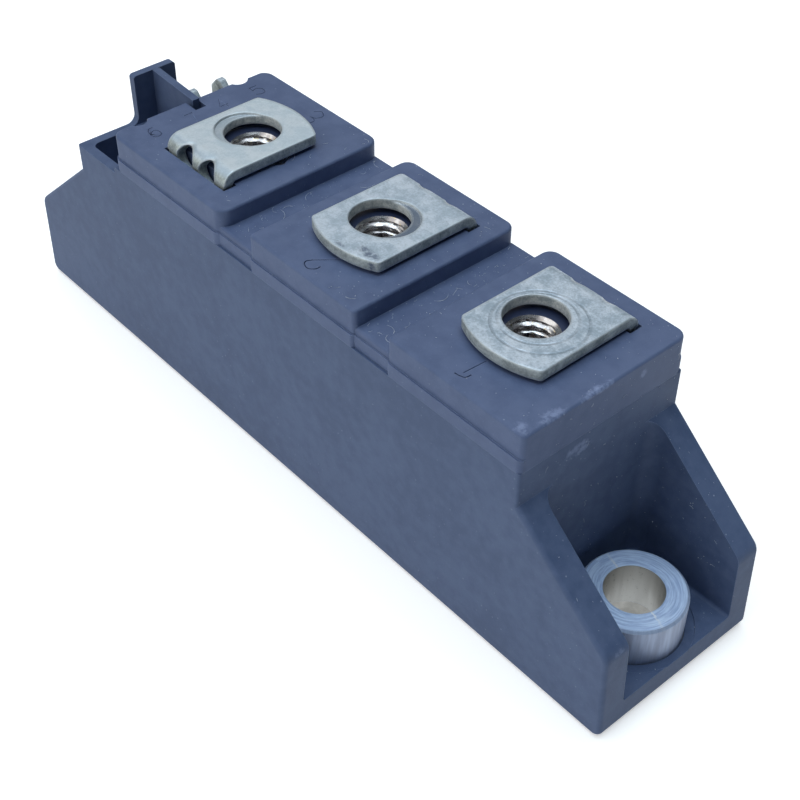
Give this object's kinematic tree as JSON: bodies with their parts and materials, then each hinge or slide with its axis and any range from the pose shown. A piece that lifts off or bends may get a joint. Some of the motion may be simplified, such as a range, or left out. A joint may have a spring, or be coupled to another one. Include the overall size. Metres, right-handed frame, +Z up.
{
  "type": "thyristor diode module",
  "caption": "Flat power semiconductor module: thyristor and diode in a moulded case with screw terminals, control tabs and lugs with spacer bushings for a heatsink.",
  "frame": {"origin": "centre of the mounting face on the base plate's underside, midway between the two fixing holes", "axes": "+X along the module towards terminal 1, +Z up out of the mounting face, -Y towards the long side that shows the fold of terminal 3"},
  "size_m": [0.092, 0.0205, 0.0298],
  "materials": {
    "case_plastic": "matte moulded dark blue-grey glass-filled plastic",
    "lid_plastic": "matte moulded blue-grey glass-filled plastic",
    "base_plate_metal": "nickel-plated copper plate, satin",
    "bushing_steel": "turned and plated, fine concentric marks",
    "terminal_plating": "mottled dull tin plating on copper",
    "nut_plating": "bright nickel plating",
    "tab_plating": "dull tin plating",
    "bare_copper": "bare copper",
    "white_ceramic": "matte white alumina",
    "silicon": "dark passivated silicon",
    "lead_sleeve": "silicone-sleeved stranded lead",
    "clear_gel": "soft translucent silicone"
  },
  "bodies": {
    "root": {"housing": "case_plastic", "lid": "lid_plastic", "base_plate": "base_plate_metal", "bushing_front": "bushing_steel", "bushing_rear": "bushing_steel", "terminal_1": "terminal_plating", "terminal_2": "terminal_plating", "terminal_3": "terminal_plating", "nut_1": "nut_plating", "nut_2": "nut_plating", "nut_3": "nut_plating", "gate_tab": "tab_plating", "cathode_tab": "tab_plating", "substrate_lower_copper": "bare_copper", "substrate_ceramic": "white_ceramic", "track_1": "bare_copper", "track_2": "bare_copper", "track_3": "bare_copper", "thyristor_chip": "silicon", "diode_chip": "silicon", "thyristor_strap": "bare_copper", "diode_strap": "bare_copper", "gate_lead": "lead_sleeve", "cathode_lead": "lead_sleeve", "silicone_gel": "clear_gel"}
  },
  "joints": []
}
